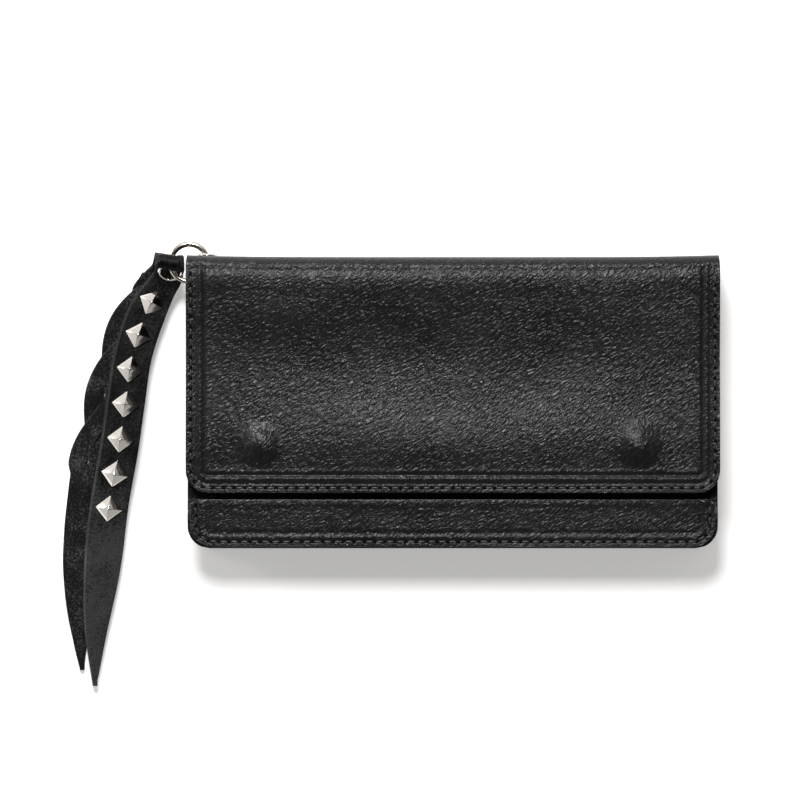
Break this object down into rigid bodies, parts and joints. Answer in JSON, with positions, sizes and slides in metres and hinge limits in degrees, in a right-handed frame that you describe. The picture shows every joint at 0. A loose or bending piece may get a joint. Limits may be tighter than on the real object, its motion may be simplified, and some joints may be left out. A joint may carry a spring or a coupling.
{
  "type": "flap wallet with strap charm",
  "caption": "Long leather flap wallet with hidden snaps, bellows pockets, a zipped coin pouch, and a studded, braided strap charm on a metal ring.",
  "frame": {"origin": "centre of the back panel's outer face", "axes": "+X along the wallet's length, +Y towards the fold, +Z towards the flap"},
  "size_m": [0.2357, 0.1604, 0.0272],
  "materials": {
    "black_leather": "pebbled full-grain leather, semi-matte",
    "lining_leather": "smooth matte leather",
    "strap_leather": "smooth oiled leather with creases",
    "zip_textile": "woven tape",
    "nickel": "polished nickel"
  },
  "bodies": {
    "body": {"cover_back": "black_leather", "cover_fold": "black_leather", "back_lining": "lining_leather", "spine_lining": "lining_leather", "card_slot_1": "lining_leather", "card_slot_2": "lining_leather", "card_slot_3": "lining_leather", "gusset_left": "lining_leather", "gusset_right": "lining_leather", "bottom_gusset": "lining_leather", "spine_eyelet": "nickel", "spine_washer": "nickel"},
    "flap": {"cover_flap": "black_leather", "flap_lining": "lining_leather", "snap_cap_left": "nickel", "snap_cap_right": "nickel", "snap_socket_left": "nickel", "snap_socket_right": "nickel"},
    "front": {"front_panel": "black_leather", "front_lining": "lining_leather", "snap_stud_left": "nickel", "snap_stud_right": "nickel", "snap_post_left": "nickel", "snap_post_right": "nickel", "front_band": "black_leather"},
    "pouch": {"pouch_shell": "lining_leather", "zip_tape_rear": "zip_textile", "zip_tape_front": "zip_textile", "zip_chain": "nickel", "zip_stop_left": "nickel", "zip_stop_right": "nickel"},
    "zip_slider": {"zip_slider": "nickel"},
    "zip_pull": {"zip_pull": "nickel"},
    "ring": {"ring": "nickel"},
    "charm": {"charm_strap": "strap_leather", "charm_eyelet_front": "nickel", "charm_eyelet_back": "nickel", "stud_1": "nickel", "stud_2": "nickel", "stud_3": "nickel", "stud_4": "nickel", "stud_5": "nickel", "stud_6": "nickel", "stud_7": "nickel"}
  },
  "joints": [
    {"name": "flap_hinge", "type": "hinge", "parent": "body", "child": "flap", "pos_m": [0, 0.0511, 0.0245], "axis": [-1, 0, 0], "range_deg": [0, 180], "deforming": ["cover_fold"]},
    {"name": "front_open", "type": "hinge", "parent": "body", "child": "front", "pos_m": [0, -0.05, 0.002], "axis": [1, 0, 0], "range_deg": [0, 9], "deforming": ["gusset_left", "gusset_right", "bottom_gusset"]},
    {"name": "pouch_open", "type": "hinge", "parent": "body", "child": "pouch", "pos_m": [0, -0.05, 0.002], "axis": [1, 0, 0], "range_deg": [0, 4.5]},
    {"name": "zip_slide", "type": "slide", "parent": "pouch", "child": "zip_slider", "axis": [1, 0, 0], "range_m": [-0.144, 0]},
    {"name": "pull_swing", "type": "hinge", "parent": "zip_slider", "child": "zip_pull", "pos_m": [0.072, 0.0352, 0.01225], "axis": [0, 0, -1], "range_deg": [0, 170]},
    {"name": "ring_swing", "type": "hinge", "parent": "body", "child": "ring", "pos_m": [-0.08794, 0.0518, 0.011], "axis": [0, 1, 0], "range_deg": [0, 6]},
    {"name": "charm_travel", "type": "hinge", "parent": "ring", "child": "charm", "pos_m": [-0.0945, 0.0502, 0.011], "axis": [0, 0, -1], "range_deg": [0, 25]}
  ],
  "couplings": [
    {"joint": "front_open", "follows": "flap_hinge", "ratio": 0.05},
    {"joint": "pouch_open", "follows": "flap_hinge", "ratio": 0.025}
  ]
}
